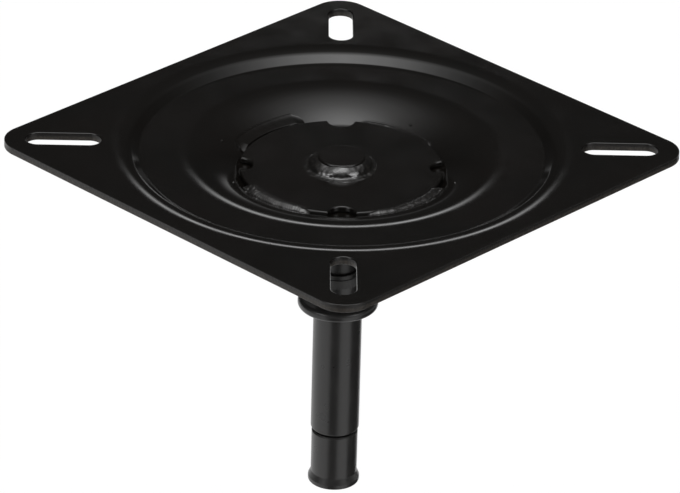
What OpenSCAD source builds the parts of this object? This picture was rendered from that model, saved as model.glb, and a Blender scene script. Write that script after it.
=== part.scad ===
// Pin-type swivel seat mount: a square pressed steel plate with a deep dish, a welded hub disc,
// and a steel pin that turns in two moulded bushings.
// Millimetres. The origin is the centre of the plate's upper face, +Z is up and the pin points down.
// The plate's corners lie on the X and Y axes.

/* [Plate] */
// Side of the square plate
plate_w = 177.8; // [160:0.1:200]
// Thickness of the pressed sheet
plate_t = 3.05; // [2:0.05:4]
// Radius of the plate's corners
corner_r = 11; // [6:0.5:14]
// Distance from the plate's unrounded corner in to the middle of each slot
slot_inset = 25.82; // [24:0.01:28]
// Overall length of a slot
slot_len = 27.1; // [20:0.1:28]
// Width of a slot
slot_w = 9; // [7:0.1:10]
// Rounded-over rim of a slot, seen as a chamfer
slot_rim = 0.4; // [0.1:0.05:0.8]

/* [Pressed dish] */
// Flat rim left between the dish and the middle of each side
rim_w = 5.7; // [4:0.1:8]
// Bend radius of the soft roll with which the dish starts
roll_bend = 30; // [20:1:34]
// Slope that the roll ends with, in degrees
roll_slope = 11; // [8:0.5:14]
// Bend radius of the tighter shoulder inside the roll
shoulder_bend = 4.5; // [3:0.5:6]
// Slope of the wall between the shoulder and the ledge, in degrees
shoulder_slope = 36.5; // [30:0.5:40]
// Bend radius of the crease below the outer shoulder
crease_bend = 1; // [0.5:0.1:2]
// Depth of the ledge below the plate's face
step_depth = 3.3; // [2:0.1:4]
// Radius at which the bowl starts to fall away from the ledge
bowl_r = 59.6; // [57:0.1:62]
// Slope that the bowl reaches at its foot, in degrees
bowl_slope = 36; // [28:0.5:37]
// Bend radius where the bowl meets its floor
foot_bend = 3; // [1:0.5:4]

/* [Hub disc] */
// Radius of the disc welded into the bowl
disc_r = 35.4; // [32:0.1:36]
// Thickness of the disc
disc_t = 3.05; // [2:0.05:4]
// Radius of the four half-round locating notches
notch_r = 4.8; // [3:0.1:6]
// Depth of a notch, in from the disc's edge
notch_depth = 4; // [2:0.1:4.8]

/* [Pin] */
// Radius of the steel pin
pin_r = 6.35; // [5.5:0.05:6.8]
// Radius of the pin's upset head
head_r = 8.4; // [7.6:0.1:10]
// Height of the head above the disc
head_h = 3.2; // [2:0.1:5]
// How far the pin's tip stays inside the end bushing
tip_inset = 0.5; // [0:0.1:2]
// Chamfer at the pin's tip
tip_chamfer = 1; // [0.5:0.1:1.5]
// Depth of the two snap grooves in the pin
groove_depth = 0.5; // [0.3:0.05:0.8]
// Length of a snap groove along the pin
groove_len = 3; // [2:0.1:4]
// Width of the stop ring, from the pin out
ring_w = 1.24; // [1:0.01:2.5]
// Thickness of the stop ring
ring_t = 2; // [1.5:0.1:3]

/* [Flanged bushing] */
// Wall of the collar above the flange
collar_wall = 1.5; // [1.2:0.1:2.6]
// Wall left at the collar's tapered top
collar_top_wall = 0.7; // [0.5:0.1:1.1]
// Length of the collar above the flange
collar_len = 9.8; // [7:0.1:14]
// Length of the collar's tapered top
collar_taper = 3; // [1:0.1:4]
// Radius of the flange that rests on the pedestal
flange_r = 14.75; // [12:0.1:18]
// Thickness of the flange at its rim
flange_t = 3.6; // [2.5:0.1:5]
// Radius of the rounded upper edge of the flange
flange_round = 1.6; // [0.5:0.1:2.4]
// Height from the plate's face down to the underside of the flange
flange_seat = 65.6; // [60:0.1:80]
// Radius of the sleeve that fits in the pedestal
sleeve_r = 8.9; // [8.2:0.05:10]
// Length of the sleeve below the flange
sleeve_len = 50.6; // [30:0.1:80]
// Rounded lower edge of the sleeve
sleeve_round = 0.6; // [0.2:0.1:1]

/* [End bushing] */
// Gap between the two bushings
bushing_gap = 1.1; // [0.5:0.1:2]
// Radius of the end bushing
end_r = 8.53; // [8:0.05:9]
// Length of the end bushing
end_len = 21.4; // [16:0.1:30]
// Radius of the lip at the end
lip_r = 9.5; // [9.1:0.1:10.5]
// Height of the lip, with the slope that leads up to it
lip_h = 4; // [3:0.1:5]
// Height of the lip's straight side
lip_band = 1.2; // [0.8:0.1:1.6]
// Rounded lower edge of the lip
lip_round = 0.6; // [0.3:0.1:0.8]
// Bevel at the upper edge of the end bushing
end_bevel = 0.5; // [0.2:0.1:0.8]

/* [Welds] */
// Reach of a hub weld beyond the disc's edge
weld_reach = 3.3; // [2:0.1:4]
// Height of a hub weld above the disc
weld_h = 1.5; // [0.8:0.1:2.5]
// Lap of a hub weld over the disc's edge
weld_lap = 1.5; // [0.8:0.1:2]
// Angle left free on each side of a notch, in degrees
weld_start = 18.5; // [12:0.5:24]
// Leg of the weld round the pin's head
head_weld = 4; // [2:0.1:5]
// Leg of the weld round the pin below the dish
foot_weld = 4.2; // [2:0.1:5]

/* [Clearances] */
// Radial running clearance between the pin and its bushings
run_fit = 0.05; // [0.02:0.01:0.1]
// Clearance between the stop ring and the collar below it
thrust_gap = 0.3; // [0.2:0.05:0.6]
// Radial gap between the pin and the steel parts pressed on it
press_gap = 0.01; // [0:0.01:0.02]
// Gap between a weld and the steel that it lies on
weld_gap = 0.02; // [0.01:0.01:0.05]

/* [Hidden] */
$fn = 96;

gloss_black = [0.05, 0.05, 0.05];
weld_black = [0.12, 0.12, 0.12];
satin_black = [0.22, 0.22, 0.23];
quarter = 90;
bend_steps = 8;
overlap = 1;

// The slots lie on the plate's diagonals, and the dish fits between its sides
slot_reach = plate_w / sqrt(2) - slot_inset;
dish_r = plate_w / 2 - rim_w;
// The pressed sheet outside the ledge: where the roll and the shoulder end, and the crease below them
roll_end = [dish_r - roll_bend * sin(roll_slope), -roll_bend * (1 - cos(roll_slope))];
shoulder_end = roll_end - shoulder_bend
    * [sin(shoulder_slope) - sin(roll_slope), cos(roll_slope) - cos(shoulder_slope)];
wall_drop = step_depth + shoulder_end[1] - crease_bend * (1 - cos(shoulder_slope));
crease_r = shoulder_end[0] - wall_drop / tan(shoulder_slope) - crease_bend * sin(shoulder_slope);
// The bowl is one long bend from the ledge down to its foot
floor_r = disc_r + 0.1;
bowl_bend = (bowl_r - floor_r) / sin(bowl_slope) - foot_bend;
foot_r = floor_r + foot_bend * sin(bowl_slope);
floor_z = -step_depth - (bowl_bend + foot_bend) * (1 - cos(bowl_slope));
floor_under = floor_z - plate_t;
disc_top = floor_z + disc_t;
// Heights along the pin, from the flange up and down
flange_under = -flange_seat;
flange_top = flange_under + flange_t;
collar_top = flange_top + collar_len;
ring_under = collar_top + thrust_gap;
ring_top = ring_under + ring_t;
sleeve_end = flange_under - sleeve_len;
end_top = sleeve_end - bushing_gap;
end_under = end_top - end_len;
pin_tip = end_under + tip_inset;
// The snap grooves lie near the lower end of each bushing
snap_lift = 8;
snap_heights = [sleeve_end + snap_lift, end_under + snap_lift];
// Radii that go with the pin
bore_r = pin_r + run_fit;
snap_r = pin_r - groove_depth + 2 * run_fit;
ring_inner = pin_r + press_gap;
ring_r = ring_inner + ring_w;
collar_r = bore_r + collar_wall;
collar_top_r = bore_r + collar_top_wall;

// One bend of the sheet's upper face, as [radius, height, slope]: falling from one slope to a
// steeper one, or levelling out from a slope
function fall_away(start, bend, from, to) =
    [for (i = [0:bend_steps]) let (a = from + (to - from) * i / bend_steps)
        [start[0] - bend * (sin(a) - sin(from)), start[1] - bend * (cos(from) - cos(a)), a]];
function level_out(r, z, bend, slope) =
    [for (i = [bend_steps:-1:0]) let (a = slope * i / bend_steps)
        [r + bend * sin(a), z + bend * (1 - cos(a)), a]];
// The sheet's underside lies one thickness below, square to the upper face
function underside(path) =
    [for (p = path) [p[0] + plate_t * sin(p[2]), p[1] - plate_t * cos(p[2])]];
function upperside(path) = [for (p = path) [p[0], p[1]]];
function reversed(list) = [for (i = [len(list) - 1:-1:0]) list[i]];
// Height of the bowl's upper face at a radius beyond the disc
function bowl_z(r) = r > foot_r
    ? -step_depth - bowl_bend * (1 - sqrt(1 - pow((bowl_r - r) / bowl_bend, 2)))
    : floor_z + foot_bend * (1 - sqrt(1 - pow(max(r - floor_r, 0) / foot_bend, 2)));

// A path without the points where one bend starts on the end of another
function distinct(path) = [for (i = [0:len(path) - 1])
    if (i == 0 || norm([path[i][0] - path[i - 1][0], path[i][1] - path[i - 1][1]]) > 0.001) path[i]];

dish_path = distinct(concat(
    [[dish_r + overlap, 0, 0]],
    fall_away([dish_r, 0], roll_bend, 0, roll_slope),
    fall_away(roll_end, shoulder_bend, roll_slope, shoulder_slope),
    level_out(crease_r, -step_depth, crease_bend, shoulder_slope),
    fall_away([bowl_r, -step_depth], bowl_bend, 0, bowl_slope),
    level_out(floor_r, floor_z, foot_bend, bowl_slope),
    [[pin_r + press_gap, floor_z, 0]]));

// Outline of the square plate with rounded corners, made of plain shapes
module rounded_square(w, r) {
    square([w, w - 2 * r], center = true);
    square([w - 2 * r, w], center = true);
    for (x = [-1, 1], y = [-1, 1])
        translate([x * (w / 2 - r), y * (w / 2 - r)]) circle(r);
}

// One slot along X, with its upper rim widened as a chamfer
module slot_cut() {
    half = (slot_len - slot_w) / 2;
    depth = plate_t + 2 * overlap;
    rim_r = slot_w / 2 + slot_rim;
    translate([slot_reach, 0, 0]) {
        translate([-half, -slot_w / 2, -plate_t - overlap]) cube([2 * half, slot_w, depth]);
        for (side = [-1, 1]) translate([side * half, 0, 0]) {
            translate([0, 0, -plate_t - overlap]) cylinder(h = depth, r = slot_w / 2);
            translate([0, 0, -slot_rim]) cylinder(h = slot_rim, r1 = slot_w / 2, r2 = rim_r);
        }
        rotate([quarter, 0, quarter])
            linear_extrude(2 * half, center = true)
                polygon([[-slot_w / 2, -slot_rim], [slot_w / 2, -slot_rim], [rim_r, 0], [-rim_r, 0]]);
    }
}

module mounting_plate() {
    color(gloss_black) difference() {
        union() {
            difference() {
                rotate([0, 0, quarter / 2]) translate([0, 0, -plate_t])
                    linear_extrude(plate_t) rounded_square(plate_w, corner_r);
                translate([0, 0, -plate_t - overlap])
                    cylinder(h = plate_t + 2 * overlap, r = dish_r);
            }
            rotate_extrude()
                polygon(concat(upperside(dish_path), reversed(underside(dish_path))));
        }
        for (i = [0:3]) rotate([0, 0, quarter * i]) slot_cut();
    }
}

module hub_disc() {
    color(gloss_black) translate([0, 0, floor_z]) difference() {
        cylinder(h = disc_t, r = disc_r);
        translate([0, 0, -overlap])
            cylinder(h = disc_t + 2 * overlap, r = pin_r + press_gap);
        for (i = [0:3]) rotate([0, 0, quarter * i])
            translate([disc_r - notch_depth + notch_r, 0, -overlap])
                cylinder(h = disc_t + 2 * overlap, r = notch_r);
    }
}

// Rings of points round the Z axis, joined into one solid. A closed loop has no end faces.
module ring_sweep(sections, angles, closed) {
    m = len(sections[0]);
    n = len(sections);
    points = [for (i = [0:n - 1]) for (p = sections[i])
        [p[0] * cos(angles[i]), p[0] * sin(angles[i]), p[1]]];
    skin = [for (i = [0:(closed ? n - 1 : n - 2)]) for (j = [0:m - 1])
        let (k = (i + 1) % n, l = (j + 1) % m)
        each [[i * m + j, i * m + l, k * m + l], [i * m + j, k * m + l, k * m + j]]];
    ends = closed ? [] : [[for (j = [m - 1:-1:0]) j], [for (j = [0:m - 1]) (n - 1) * m + j]];
    polyhedron(points, concat(skin, ends));
}

// The ripples of a hand-laid bead, as a share of its size
function ripple(a, phase) = 1 + 0.10 * sin(11 * a + phase) + 0.07 * sin(29 * a + 2 * phase);

// Section of a hub weld at an angle: it laps the disc's edge and runs down to the bowl
function hub_section(a, full, phase) = let (
        k = ripple(a, phase),
        reach = weld_reach * full * k,
        lap = weld_lap * full * (2 - k),
        h = weld_h * full * k,
        top = disc_top + weld_gap,
        toe = disc_r + reach,
        wall = disc_r + weld_gap)
    [[disc_r - lap, top],
     [wall, top],
     [wall, floor_z + weld_gap],
     [disc_r + reach / 2, bowl_z(disc_r + reach / 2) + weld_gap],
     [toe, bowl_z(toe) + weld_gap],
     [disc_r + 0.75 * reach, disc_top + 0.45 * h],
     [disc_r + 0.4 * reach, disc_top + 0.9 * h],
     [disc_r + 0.05 * reach, disc_top + h],
     [disc_r - 0.6 * lap, disc_top + 0.7 * h]];

module hub_weld(index) {
    steps = 28;
    from = quarter * index + weld_start;
    span = quarter - 2 * weld_start;
    color(weld_black) ring_sweep(
        [for (i = [0:steps]) let (t = i / steps, full = 0.3 + 0.7 * pow(sin(180 * t), 0.35))
            hub_section(from + span * t, full, 70 * index)],
        [for (i = [0:steps]) from + span * i / steps], false);
}

// A weld that fills the corner between a round bar and a flat face, going up or down from it
module corner_weld(bar_r, face_z, leg, way, phase) {
    steps = 45;
    turn = 360 / steps;
    wall = bar_r + weld_gap;
    base = face_z + way * weld_gap;
    color(weld_black) ring_sweep(
        [for (i = [0:steps - 1]) let (
                a = turn * i,
                k = 0.95 + 0.08 * sin(5 * a + phase) + 0.06 * sin(13 * a + phase),
                loop = [[wall, base], [bar_r + leg * k, base],
                        [bar_r + 0.72 * leg * k, face_z + way * 0.24 * leg],
                        [bar_r + 0.42 * leg * k, face_z + way * 0.46 * leg],
                        [bar_r + 0.16 * leg, face_z + way * 0.62 * leg * k],
                        [wall, face_z + way * 0.7 * leg * k]])
            way > 0 ? reversed(loop) : loop],
        [for (i = [0:steps - 1]) turn * i], true);
}

// The pin's profile, from its head down: the shank carries two snap grooves
module pin() {
    crown = 0.8;
    head_top = disc_top + head_h;
    shank = [for (z = snap_heights) each [
        [pin_r, z + groove_len / 2], [pin_r - groove_depth, z + groove_len / 2 - groove_depth],
        [pin_r - groove_depth, z - groove_len / 2 + groove_depth], [pin_r, z - groove_len / 2]]];
    color(gloss_black) rotate_extrude() polygon(concat(
        [[0, head_top], [head_r - crown, head_top]],
        [for (a = [quarter / 3, quarter * 2 / 3, quarter])
            [head_r - crown + crown * sin(a), head_top - crown + crown * cos(a)]],
        [[head_r, disc_top], [pin_r, disc_top]],
        shank,
        [[pin_r, pin_tip + tip_chamfer], [pin_r - tip_chamfer, pin_tip], [0, pin_tip]]));
}

module stop_ring() {
    bevel = 0.5;
    color(gloss_black) rotate_extrude() polygon([
        [ring_inner, ring_under], [ring_r - bevel, ring_under], [ring_r, ring_under + bevel],
        [ring_r, ring_top - bevel], [ring_r - bevel, ring_top], [ring_inner, ring_top]]);
}

// The bore of a bushing as profile points, from its top down, with one snap ridge
function bore_wall(top, bottom, snap_z) = let (
        lead = groove_depth - 2 * run_fit,
        half = groove_len / 2 - groove_depth - run_fit)
    [[bore_r, top],
     [bore_r, snap_z + half + lead], [snap_r, snap_z + half],
     [snap_r, snap_z - half], [bore_r, snap_z - half - lead],
     [bore_r, bottom]];

module flanged_bushing() {
    cove = 1.5;
    under_round = 0.6;
    rim = flange_r - flange_round;
    color(satin_black) rotate_extrude() polygon(concat(
        bore_wall(collar_top, sleeve_end, snap_heights[0]),
        [for (a = [0:quarter / 3:quarter])
            [sleeve_r - sleeve_round + sleeve_round * sin(a),
             sleeve_end + sleeve_round - sleeve_round * cos(a)]],
        [[sleeve_r, flange_under], [flange_r - under_round, flange_under],
         [flange_r, flange_under + under_round]],
        [for (a = [0:quarter / 5:quarter])
            [rim + flange_round * cos(a), flange_top - flange_round + flange_round * sin(a)]],
        [for (a = [quarter:-quarter / 5:0])
            [collar_r + cove - cove * cos(a), flange_top + cove - cove * sin(a)]],
        [[collar_r, collar_top - collar_taper], [collar_top_r, collar_top]]));
}

module end_bushing() {
    cove = 0.3;
    color(satin_black) rotate_extrude() polygon(concat(
        bore_wall(end_top, end_under, snap_heights[1]),
        [for (a = [0:quarter / 3:quarter])
            [lip_r - lip_round + lip_round * sin(a), end_under + lip_round * (1 - cos(a))]],
        [[lip_r, end_under + lip_round + lip_band],
         [end_r + cove, end_under + lip_h - cove], [end_r, end_under + lip_h],
         [end_r, end_top - end_bevel], [end_r - end_bevel, end_top]]));
}

mounting_plate();
hub_disc();
hub_weld(0);  // hub_weld_1
hub_weld(1);  // hub_weld_2
hub_weld(2);  // hub_weld_3
hub_weld(3);  // hub_weld_4
pin();
corner_weld(head_r, disc_top, head_weld, 1, 20);  // head_weld_ring
corner_weld(pin_r, floor_under, foot_weld, -1, 65);  // foot_weld_ring
stop_ring();
flanged_bushing();
end_bushing();
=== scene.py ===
"""Pin-type swivel seat mount: its finished surfaces, the studio round it and the camera.

Sizes of the mount are named in millimetres and turned into metres by MM. The studio, the camera
and the finishes are in metres. The origin is the centre of the plate's upper face, +Z is up, the
pin points down and the plate's corners lie on X and Y.
"""

from __future__ import annotations

import logging
import math
import random
from dataclasses import dataclass, field
from enum import Enum
from functools import reduce
from typing import Callable, Sequence

import bmesh
import bpy
import numpy as np
from mathutils import Matrix, Quaternion, Vector, noise
from mathutils.geometry import tessellate_polygon

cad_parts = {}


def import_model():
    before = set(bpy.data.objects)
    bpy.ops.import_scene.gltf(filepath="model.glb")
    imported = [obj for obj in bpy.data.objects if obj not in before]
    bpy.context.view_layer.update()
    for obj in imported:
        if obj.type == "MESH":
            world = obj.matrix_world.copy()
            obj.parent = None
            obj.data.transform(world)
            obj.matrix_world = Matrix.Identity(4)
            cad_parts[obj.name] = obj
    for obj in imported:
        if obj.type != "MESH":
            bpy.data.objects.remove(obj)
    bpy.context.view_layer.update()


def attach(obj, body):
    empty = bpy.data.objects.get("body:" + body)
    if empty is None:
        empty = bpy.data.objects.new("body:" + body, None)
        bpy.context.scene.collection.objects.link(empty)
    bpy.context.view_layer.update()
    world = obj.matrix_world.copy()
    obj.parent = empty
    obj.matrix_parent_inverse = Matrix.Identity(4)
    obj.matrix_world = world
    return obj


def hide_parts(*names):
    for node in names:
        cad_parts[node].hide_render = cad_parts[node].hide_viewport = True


MM = 0.001
TINY = 1e-9
SAME_POINT = 1e-6
FULL_TURN = 2 * math.pi
LOG = logging.getLogger("seat_mount")

Colour = tuple[float, float, float]
Corner = tuple[float, float, float]
Place = tuple[float, float]


class Body(Enum):
    """The two bodies that the swivel joins."""

    SEAT_PLATE = "seat_plate"
    BUSHINGS = "pedestal_bushings"


class Slot(Enum):
    """The record's material slots."""

    COATED_STEEL = "coated_steel"
    COATED_WELD = "coated_weld"
    MOULDED_BUSHING = "moulded_bushing"


class Quadrant(Enum):
    """The four hub welds, each between two notches, with the angle at which its quarter starts."""

    FAR_RIGHT = 0
    FAR_LEFT = 90
    NEAR_LEFT = 180
    NEAR_RIGHT = 270


# Outlines and profiles


@dataclass
class Line2D:
    """A line of points in a plane, with the direction away from the material at each."""

    points: np.ndarray
    normals: np.ndarray

    def joined(self, other: Line2D) -> Line2D:
        """Returns this line followed by another.

        Args:
            other: The line that comes next.

        Returns:
            One line with the points of both.
        """
        points = np.vstack([self.points, other.points])
        return Line2D(points, np.vstack([self.normals, other.normals]))

    def turned(self, angle: float) -> Line2D:
        """Returns the line turned about the origin.

        Args:
            angle: The turn in radians, anticlockwise.

        Returns:
            The turned line.
        """
        c, s = math.cos(angle), math.sin(angle)
        matrix = np.array([[c, s], [-s, c]])
        return Line2D(self.points @ matrix, self.normals @ matrix)

    def without_repeats(self) -> Line2D:
        """Leaves out each point of a closed line that lies on the point before it.

        Returns:
            The line without the repeated points.
        """
        keep = [0]
        for i in range(1, len(self.points)):
            if np.linalg.norm(self.points[i] - self.points[keep[-1]]) > SAME_POINT:
                keep.append(i)
        if np.linalg.norm(self.points[keep[-1]] - self.points[0]) < SAME_POINT:
            keep.pop()
        return Line2D(self.points[keep], self.normals[keep])


def arc(centre: Sequence[float], radius: float, start: float, end: float, steps: int,
        hollow: bool = False) -> Line2D:
    """Makes an arc.

    Args:
        centre: The arc's centre.
        radius: Its radius.
        start: The angle of its first point, in radians.
        end: The angle of its last point.
        steps: How many pieces it has.
        hollow: True where the material lies outside the arc.

    Returns:
        The arc with its normals.
    """
    angles = np.linspace(start, end, steps + 1)
    away = np.stack([np.cos(angles), np.sin(angles)], axis=1)
    return Line2D(np.asarray(centre, float) + radius * away, -away if hollow else away)


def straight(start: np.ndarray, end: np.ndarray, normal: np.ndarray, steps: int) -> Line2D:
    """Makes the inner points of a straight run, without its two ends.

    Args:
        start: Where the run starts.
        end: Where it ends.
        normal: The direction away from the material.
        steps: How many pieces it has.

    Returns:
        The run with its normals.
    """
    share = np.linspace(0, 1, steps + 1)[1:-1, None]
    points = start + share * (end - start)
    return Line2D(points, np.repeat(normal[None, :], len(points), axis=0))


def rounded_square(side: float, radius: float, arc_steps: int, side_steps: int) -> Line2D:
    """Makes the outline of a square with rounded corners that lie on the axes.

    Args:
        side: The square's side.
        radius: The corners' radius.
        arc_steps: The pieces in each corner.
        side_steps: The pieces along each side.

    Returns:
        The closed outline, anticlockwise.
    """
    reach = (side / 2 - radius) * math.sqrt(2)
    quarters = []
    for i in range(4):
        middle = i * math.pi / 2
        start, end = middle - math.pi / 4, middle + math.pi / 4
        centre = (reach * math.cos(middle), reach * math.sin(middle))
        corner = arc(centre, radius, start, end, arc_steps)
        following = arc((-centre[1], centre[0]), radius, end, end, 1)
        run = straight(corner.points[-1], following.points[0], corner.normals[-1], side_steps)
        quarters.append(corner.joined(run))
    return reduce(Line2D.joined, quarters)


def slot_outline(reach: float, length: float, width: float, angle: float, arc_steps: int,
                 side_steps: int) -> Line2D:
    """Makes the outline of a slot that runs away from the middle of the plate.

    Args:
        reach: The distance from the middle of the plate to the middle of the slot.
        length: The slot's overall length.
        width: Its width.
        angle: The direction in which it lies, in radians.
        arc_steps: The pieces in each round end.
        side_steps: The pieces along each side.

    Returns:
        The closed outline, with normals that point into the slot.
    """
    half, radius = (length - width) / 2, width / 2
    outer = arc((reach + half, 0), radius, -math.pi / 2, math.pi / 2, arc_steps, hollow=True)
    inner = arc((reach - half, 0), radius, math.pi / 2, 3 * math.pi / 2, arc_steps, hollow=True)
    back = straight(outer.points[-1], inner.points[0], outer.normals[-1], side_steps)
    forth = straight(inner.points[-1], outer.points[0], inner.normals[-1], side_steps)
    return outer.joined(back).joined(inner).joined(forth).turned(angle)


def circle(radius: float, segments: int, hollow: bool = False) -> Line2D:
    """Makes a closed circle about the origin, without repeating its first point."""
    ring = arc((0, 0), radius, 0, FULL_TURN, segments, hollow)
    return Line2D(ring.points[:-1], ring.normals[:-1])


def rounded_profile(corners: Sequence[Corner], degrees_per_step: float,
                    closed: bool = False) -> Line2D:
    """Makes a profile of straight runs whose corners are rounded.

    Going from the axis outwards the material lies below, and going down it lies towards the axis.

    Args:
        corners: Each corner as radius, height and the radius of its rounding.
        degrees_per_step: The largest turn in one piece of a rounding.
        closed: True where the last corner runs back to the first.

    Returns:
        The profile with its normals.
    """
    at = [np.array(c[:2], float) for c in corners]
    count = len(at)
    points: list[np.ndarray] = []
    normals: list[np.ndarray] = []

    def heading(i: int) -> np.ndarray:
        """Returns the direction from a corner to the next one."""
        step = at[(i + 1) % count] - at[i % count]
        return step / np.linalg.norm(step)

    def put(point: np.ndarray, normal: np.ndarray) -> None:
        """Adds a point, unless it lies on the last one.

        Args:
            point: Its radius and height.
            normal: The direction away from the material.
        """
        if points and np.linalg.norm(points[-1] - point) < TINY:
            return
        points.append(point)
        normals.append(normal)

    for i, corner in enumerate(corners):
        first, last = not closed and i == 0, not closed and i == count - 1
        before = heading(i if first else i - 1)
        after = heading(i - 1 if last else i)
        turn = math.atan2(before[0] * after[1] - before[1] * after[0], float(before @ after))
        start_normal = np.array([-before[1], before[0]])
        rounding = corner[2] if abs(turn) > TINY else 0.0
        if rounding == 0.0:
            end_normal = np.array([-after[1], after[0]])
            middle = start_normal + end_normal
            put(at[i], middle / np.linalg.norm(middle))
            continue
        start = at[i] - before * rounding * math.tan(abs(turn) / 2)
        side = math.copysign(1.0, turn)
        centre = start + side * rounding * start_normal
        across, up = start_normal
        steps = max(2, math.ceil(math.degrees(abs(turn)) / degrees_per_step))
        for k in range(steps + 1):
            angle = turn * k / steps
            c, s = math.cos(angle), math.sin(angle)
            normal = np.array([c * across - s * up, s * across + c * up])
            put(centre - side * rounding * normal, normal)
    return Line2D(np.array(points), np.array(normals))


# Meshes


@dataclass
class Skin:
    """Points with exact normals, and the faces between them, gathered for one mesh."""

    points: list[np.ndarray] = field(default_factory=list)
    normals: list[np.ndarray] = field(default_factory=list)
    faces: list[tuple[int, ...]] = field(default_factory=list)
    finish_of: list[int] = field(default_factory=list)
    count: int = 0

    def add(self, points: np.ndarray, normals: np.ndarray) -> np.ndarray:
        """Adds points.

        Args:
            points: Points in millimetres; the last axis is x, y, z.
            normals: Their normals, in the same layout.

        Returns:
            The new points' indices, in the same layout.
        """
        shape = points.shape[:-1]
        total = int(np.prod(shape))
        self.points.append(points.reshape(-1, 3))
        self.normals.append(normals.reshape(-1, 3))
        indices = np.arange(self.count, self.count + total).reshape(shape)
        self.count += total
        return indices

    def join(self, rows: np.ndarray, around: bool = True, stack: bool = False,
             finish: int = 0) -> None:
        """Joins rows of points with four-sided faces.

        Args:
            rows: The indices, one row for each line of points.
            around: True where each row closes on itself.
            stack: True where the last row is joined to the first.
            finish: The finish of the faces, as a place in the piece's list.
        """
        height, width = rows.shape
        for i in range(height if stack else height - 1):
            low, high = rows[i], rows[(i + 1) % height]
            for j in range(width if around else width - 1):
                k = (j + 1) % width
                self.faces.append((int(low[j]), int(low[k]), int(high[k]), int(high[j])))
                self.finish_of.append(finish)

    def fill(self, loops: Sequence[np.ndarray]) -> None:
        """Fills the flat area between closed loops of points at one height.

        Args:
            loops: The loops' indices, the outer one first.
        """
        everything = np.vstack(self.points)
        lines = [[Vector(everything[i]) for i in loop] for loop in loops]
        order = np.concatenate(loops)
        for triangle in tessellate_polygon(lines):
            self.faces.append(tuple(int(order[i]) for i in triangle))
            self.finish_of.append(0)

    def wall(self, outline: Line2D, top: float, bottom: float, round_top: float,
             round_bottom: float, wall_steps: int, arc_steps: int = 6) -> tuple[np.ndarray, int]:
        """Adds the rows of points down an upright wall with two rounded edges.

        Args:
            outline: The wall's closed outline, with normals away from the material.
            top: The height of the upper face.
            bottom: The height of the lower face.
            round_top: The radius of the upper edge.
            round_bottom: The radius of the lower edge.
            wall_steps: The pieces in the upright part.
            arc_steps: The pieces in each rounding.

        Returns:
            The rows' indices from the upper face to the lower, and how many belong to the upper
            rounding.
        """
        rows, directions = [], []

        def level(inset: float, height: float, lean: float) -> None:
            """Adds one row of points.

            Args:
                inset: How far the row lies inside the outline.
                height: Its height.
                lean: The angle between its normals and straight up.
            """
            flat = outline.points - inset * outline.normals
            upward = np.full(len(flat), math.cos(lean))
            rows.append(np.column_stack([flat, np.full(len(flat), height)]))
            directions.append(np.column_stack([outline.normals * math.sin(lean), upward]))

        for k in range(arc_steps + 1):
            lean = math.pi / 2 * k / arc_steps
            level(round_top * (1 - math.sin(lean)), top - round_top * (1 - math.cos(lean)), lean)
        for k in range(1, wall_steps):
            drop = k / wall_steps * (bottom + round_bottom - top + round_top)
            level(0.0, top - round_top + drop, math.pi / 2)
        for k in range(arc_steps + 1):
            lean = math.pi / 2 * (1 + k / arc_steps)
            height = bottom + round_bottom * (1 + math.cos(lean))
            level(round_bottom * (1 - math.sin(lean)), height, lean)
        return self.add(np.array(rows), np.array(directions)), arc_steps + 1

    def revolve(self, profile: Line2D, segments: int) -> np.ndarray:
        """Adds the points of a profile turned about the Z axis.

        Args:
            profile: Radius and height of each point.
            segments: The pieces in a full turn.

        Returns:
            The indices, one row for each point of the profile.
        """
        angles = np.arange(segments) * FULL_TURN / segments
        c, s = np.cos(angles), np.sin(angles)

        def spun(pairs: np.ndarray) -> np.ndarray:
            """Returns pairs of radius and height, turned to every angle."""
            radius, height = pairs[:, 0:1], pairs[:, 1:2]
            return np.stack([radius * c, radius * s, np.repeat(height, segments, axis=1)], axis=2)

        return self.add(spun(profile.points), spun(profile.normals))

    def cap(self, row: np.ndarray) -> None:
        """Closes a ring of points with one flat face."""
        self.faces.append(tuple(int(i) for i in row))
        self.finish_of.append(0)

    def cap_ends(self, rows: np.ndarray) -> None:
        """Closes the first and the last of several rings."""
        self.cap(rows[0])
        self.cap(rows[-1])

    def built(self, name: str, finishes: Sequence[bpy.types.Material],
              exact: bool = True) -> bpy.types.Object:
        """Makes the object.

        Args:
            name: The piece's name.
            finishes: Its materials, in the order that the faces name them.
            exact: True where the given normals are kept.

        Returns:
            The new object, linked to the scene.
        """
        mesh = bpy.data.meshes.new(name)
        vertices = np.vstack(self.points) * MM
        mesh.from_pydata(vertices.tolist(), [], self.faces)
        mesh.polygons.foreach_set("material_index", self.finish_of)
        shell = bmesh.new()
        shell.from_mesh(mesh)
        bmesh.ops.recalc_face_normals(shell, faces=shell.faces)
        shell.to_mesh(mesh)
        shell.free()
        mesh.shade_smooth()
        if exact:
            directions = np.vstack(self.normals)
            directions /= np.linalg.norm(directions, axis=1, keepdims=True)
            mesh.normals_split_custom_set_from_vertices(directions.tolist())
        for material in finishes:
            mesh.materials.append(material)
        piece = bpy.data.objects.new(name, mesh)
        bpy.context.scene.collection.objects.link(piece)
        return piece


def placed(piece: bpy.types.Object, body: Body, slot: Slot, *nodes: str) -> bpy.types.Object:
    """Hands a finished piece to the frame.

    Args:
        piece: The piece.
        body: The body that it rides on.
        slot: The piece's material slot; not used.
        *nodes: The solids that it stands for.

    Returns:
        The same piece.
    """
    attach(piece, body.value)
    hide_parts(*nodes)
    LOG.info("%s: %d faces, rides on %s", piece.name, len(piece.data.polygons), body.value)
    return piece


# Finishes


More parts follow.
